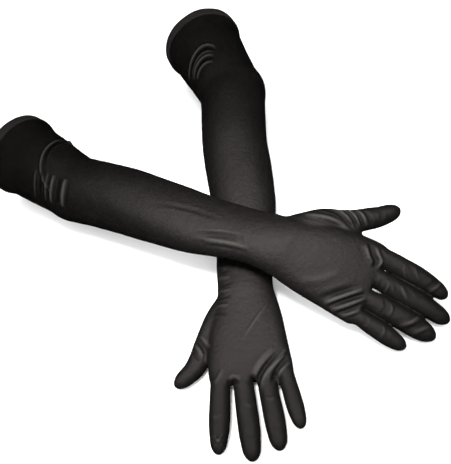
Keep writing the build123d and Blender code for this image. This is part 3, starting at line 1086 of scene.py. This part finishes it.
def part_skin(skin, glove):
    """Separates the cut skin into objects, one for each piece."""
    layer = skin.verts.layers.float_vector.new("skin_normal")
    for vert in skin.verts:
        vert[layer] = vert.normal
    cut_skin(skin, glove)
    mouth = glove.mouth - glove.upper * 5 * MM
    bmesh.ops.bisect_plane(skin, geom=skin.faces[:] + skin.edges[:] + skin.verts[:], dist=1e-7,
                           plane_co=mouth, plane_no=glove.upper, clear_outer=True)
    groups = {}
    for face in skin.faces:
        groups.setdefault(piece_of(glove, face.calc_center_median()), []).append(face.index)
    whole = bpy.data.meshes.new("whole")
    skin.to_mesh(whole)
    for kind, wanted in sorted(groups.items()):
        part = bmesh.new()
        part.from_mesh(whole)
        part.faces.ensure_lookup_table()
        wanted = set(wanted)
        bmesh.ops.delete(part, geom=[face for face in part.faces if face.index not in wanted],
                         context="FACES")
        name = f"{glove.name}_satin_{kind}"
        piece = bpy.data.objects.new(name, wall_mesh(name, part))
        part.free()
        bpy.context.scene.collection.objects.link(piece)
        piece.data.materials.append(GUSSET_SATIN if "gusset" in kind or "fourchette" in kind else SATIN)
        pieces[glove.name, kind] = piece
    bpy.data.meshes.remove(whole)
    print(glove.name, {kind: len(faces) for kind, faces in groups.items()})


for name, skin in skins.items():
    skin.faces.index_update()
    part_skin(skin, gloves[name])
    skin.free()

# %% [markdown]
# ## The hem
# The mouth of the sleeve is turned in and pressed flat, which makes a doubled band that catches the
# light. Its section is a small rounded strip, spun once round the arm with `bmesh.ops.spin`. The
# stitches that hold it are small capsules in a ring.

# %% Hem band
HEM_WIDTH = 12 * MM
HEM_SEGMENTS = 128
BAND_OUT, BAND_IN = 2.4 * MM, 0.2 * MM


def hem_band(glove):
    """The doubled band, from its rounded section."""
    bore = mounts[f"{glove.name}_cuff"]["dims"]["r_mm"] * MM
    level = Vector((0, 0, 1))
    section = bmesh.new()
    half = (BAND_OUT - BAND_IN) / 2
    middle = bore + (BAND_OUT + BAND_IN) / 2
    verts = []
    for centre, turns in ((-half, range(-90, 91, 30)), (-(HEM_WIDTH - half), range(90, 271, 30))):
        for turn in turns:
            along = centre + half * math.cos(math.radians(turn))
            out = middle + half * math.sin(math.radians(turn))
            verts.append(section.verts.new(glove.mouth + glove.upper * along + level * out))
    edges = [section.edges.new(pair) for pair in zip(verts, verts[1:] + verts[:1])]
    bmesh.ops.subdivide_edges(section, edges=[edges[6], edges[13]], cuts=4)
    bmesh.ops.spin(section, geom=section.verts[:] + section.edges[:], cent=glove.mouth, axis=glove.upper,
                   angle=math.tau, steps=HEM_SEGMENTS, use_merge=True)
    bmesh.ops.remove_doubles(section, verts=section.verts, dist=1e-6)
    for vert in section.verts:
        radial = vert.co - glove.mouth
        radial -= glove.upper * radial.dot(glove.upper)
        ripple = noise.noise(vert.co * 60) * 0.5 * MM
        vert.co += glove.upper * ripple * 0.8 + radial.normalized() * ripple * 0.5
        vert.co.z = max(vert.co.z, 0.1 * MM)
    bmesh.ops.recalc_face_normals(section, faces=section.faces)
    return finish_piece(section, f"{glove.name}_turned_hem", HEM_SATIN_PAINTED_HIGHLIGHT)


def finish_piece(form, name, material):
    """Writes a bmesh to a smooth object with its material."""
    for face in form.faces:
        face.smooth = True
    mesh = bpy.data.meshes.new(name)
    form.to_mesh(mesh)
    form.free()
    piece = bpy.data.objects.new(name, mesh)
    bpy.context.scene.collection.objects.link(piece)
    piece.data.materials.append(material)
    return piece


# %% Hem stitches
STITCHES = 60
STITCH_RADIUS = 0.35 * MM
STITCH_HALF = 1.7 * MM


def hem_stitches(glove):
    """A ring of short rounded threads just inside the edge of the band."""
    bore = mounts[f"{glove.name}_cuff"]["dims"]["r_mm"] * MM
    form = bmesh.new()
    centre = glove.mouth - glove.upper * (HEM_WIDTH - 2.2 * MM)
    for step in range(STITCHES):
        turn = math.tau * step / STITCHES
        outward = Matrix.Rotation(turn, 3, glove.upper) @ Vector((0, 0, 1))
        tangent = glove.upper.cross(outward)
        axes = Matrix((tangent, outward, glove.upper)).transposed().to_4x4()
        size = Matrix.Diagonal((STITCH_HALF, STITCH_RADIUS, STITCH_RADIUS, 1))
        place = Matrix.Translation(centre + outward * (bore + BAND_OUT + STITCH_RADIUS * 0.2))
        bmesh.ops.create_uvsphere(form, u_segments=8, v_segments=6, radius=1.0,
                                  matrix=place @ axes @ size)
    for vert in form.verts:
        vert.co.z = max(vert.co.z, 0.05 * MM)
    return finish_piece(form, f"{glove.name}_hem_thread", THREAD)


for name, glove in gloves.items():
    pieces[name, "hem"] = hem_band(glove)
    pieces[name, "hem_stitches"] = hem_stitches(glove)

# %% [markdown]
# ## What moves with what
# Rigid pieces ride on one body. Cloth that crosses a joint is blended between the two bodies: a
# point follows the first one up to the start, the second one from the end on, and turns smoothly in
# between.

# %% Ride and blend
def attach(glove):
    name = glove.name
    riders = {"hem": "upper", "hem_stitches": "upper", "upper_sleeve": "upper",
              "forearm_sleeve": "forearm", "hand_back": "hand", "hand_palm": "hand",
              "thumb_gusset": "hand"}
    for outside, inside in zip(DIGITS, DIGITS[1:]):
        riders[f"{outside}_{inside}_fourchette"] = "hand"
    for kind, body in riders.items():
        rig.ride(pieces[name, kind], f"{name}_{body}")
    blends = {
        "elbow_gather": (f"{name}_forearm", f"{name}_upper", glove.elbow + glove.forearm * ELBOW_BEND,
                         glove.elbow + glove.upper * ELBOW_BEND),
        "wrist_sleeve": (f"{name}_forearm", f"{name}_hand", glove.wrist - glove.forward * WRIST_BEND,
                         glove.wrist + glove.forward * WRIST_BEND),
    }
    for digit, bone in glove.digits.items():
        first, middle = glove.planes[digit]
        half = (middle - first).length
        along = bone["along"]
        blends[f"{digit}_base"] = (f"{name}_hand", f"{name}_{digit}_lower", first + along * MARGIN / 2,
                                   middle - along * MARGIN / 2)
        blends[f"{digit}_tip"] = (f"{name}_{digit}_lower", f"{name}_{digit}_upper",
                                  middle + along * MARGIN / 2, bone["second"] + along * half)
    web, away = glove.planes["thumb"]
    blends["thumb_base"] = (f"{name}_hand", f"{name}_thumb_lower", web + away * 0.1 * MM,
                            web + away * THUMB_BEND)
    knee, onward = glove.planes["thumb_knee"]
    blends["thumb_tip"] = (f"{name}_thumb_lower", f"{name}_thumb_upper", knee + onward * 0.1 * MM,
                           knee + onward * 15 * MM)
    for kind, (first, second, start, end) in blends.items():
        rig.blend(pieces[name, kind], first, second, start=start, end=end)
    slots = {"hem": "hem", "hem_stitches": "thread", "thumb_gusset": "gusset"}
    for (owner, kind), piece in pieces.items():
        if owner == name:
            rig.replaces(piece, f"{name}_{kind}")
            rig.slot(piece, "gusset" if "fourchette" in kind else slots.get(kind, "satin"))


for glove in gloves.values():
    attach(glove)

# %% [markdown]
# ## Table and light
# The table is a plain pale plane in an even white studio. One soft spot above the camera makes a
# pool of light over the crossing, so that the hands shine and the far cuffs stay almost black. The
# table and the studio are kept out of the cloth's reflections, as black cards would do it, so that
# its edges stay dark.

# %% Table
def floor_material():
    graph = Graph("pale_table")
    place = graph.node("ShaderNodeTexCoord", output=3)
    grain = graph.node("ShaderNodeTexNoise", None, {"Vector": place, "Scale": 60.0, "Detail": 3.0})
    colour = graph.mix_colour(grain, (0.93, 0.93, 0.93, 1), (0.96, 0.96, 0.96, 1))
    return graph.finish(Base_Color=colour, Roughness=grain * 0.1 + 0.75, Specular_IOR_Level=0.2)


floor_form = bmesh.new()
bmesh.ops.create_grid(floor_form, x_segments=1, y_segments=1, size=6.0)
floor = finish_piece(floor_form, "table", floor_material())
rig.stage(floor)

# %% Camera
TARGET = Vector((29.1 * MM, -35.6 * MM, 30 * MM))
DISTANCE = 811 * MM

back = TO_CAMERA
level = Vector((math.cos(AZIMUTH), math.sin(AZIMUTH), 0))
rise = back.cross(level)
right = level * math.cos(ROLL) + rise * math.sin(ROLL)
camera_data = bpy.data.cameras.new("camera")
camera_data.lens = 60.83
camera_data.sensor_width = 36.0
camera = bpy.data.objects.new("camera", camera_data)
bpy.context.scene.collection.objects.link(camera)
camera.matrix_world = (Matrix.Translation(TARGET + back * DISTANCE)
                       @ Matrix((right, back.cross(right), back)).transposed().to_4x4())
bpy.context.scene.camera = camera

# %% Lights
SPOT_DISTANCE = 1.1
SPOT_REACH = 0.21  # radius of the pool of light, at the gloves

pool = TARGET + right * 30 * MM + back.cross(right) * -52 * MM
from_light = (back + back.cross(right) * 0.5 - right * 0.22).normalized()
spot = bpy.data.lights.new("sheen_spot", "SPOT")
spot.energy = 125.0
spot.shadow_soft_size = 0.16
spot.spot_size = 2 * math.atan(SPOT_REACH / SPOT_DISTANCE)
spot.spot_blend = 1.0
spot_lamp = bpy.data.objects.new("sheen_spot", spot)
bpy.context.scene.collection.objects.link(spot_lamp)
spot_lamp.location = pool + from_light * SPOT_DISTANCE
spot_lamp.rotation_euler = from_light.to_track_quat("Z", "Y").to_euler()

world = bpy.data.worlds.new("studio")
world.use_nodes = True
world.node_tree.nodes["Background"].inputs["Color"].default_value = (1.0, 1.0, 1.0, 1)
world.node_tree.nodes["Background"].inputs["Strength"].default_value = 2.1
world.cycles_visibility.glossy = False
bpy.context.scene.world = world
floor.visible_glossy = False
bpy.context.scene.view_settings.view_transform = "Standard"

# %% Size and finish
visual_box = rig.bounds()
with open("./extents.json", "w") as sizes:
    json.dump({"cad": [list(corner) for corner in cad_box],
               "visual": [list(corner) for corner in visual_box]}, sizes)
